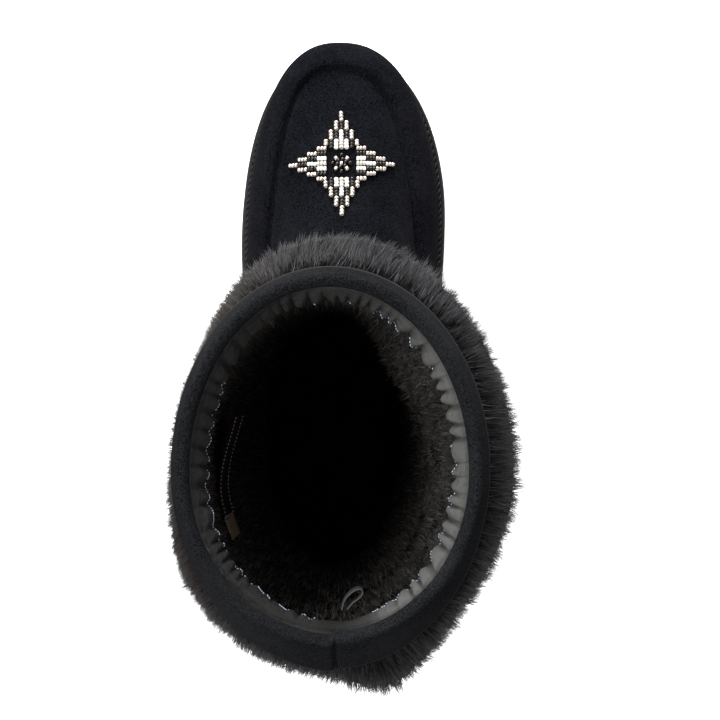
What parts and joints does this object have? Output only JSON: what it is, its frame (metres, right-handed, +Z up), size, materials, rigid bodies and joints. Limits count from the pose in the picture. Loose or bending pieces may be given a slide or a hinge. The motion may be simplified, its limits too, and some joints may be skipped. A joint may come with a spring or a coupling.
{
  "type": "mukluk boot",
  "caption": "Soft suede mukluk boot with a fur-wrapped shaft, a plain collar band, a beaded star on the vamp and a rubber cup sole.",
  "frame": {"origin": "on the floor under the middle of the heel, on the heel's tread", "axes": "+Y towards the toe, +X towards the big-toe side, +Z up"},
  "size_m": [0.1347, 0.28, 0.2694],
  "materials": {
    "rubber": "matte",
    "footbed": "plush",
    "suede": "napped",
    "fur": "long pile",
    "satin": "satin",
    "beads": "gloss"
  },
  "bodies": {
    "root": {"outsole": "rubber", "insole": "footbed", "upper": "suede", "fur_wrap": "fur", "collar_band": "suede", "collar_binding": "satin", "pull_loop": "satin", "bead_star": "beads", "bead_rosette": "beads"}
  },
  "joints": []
}
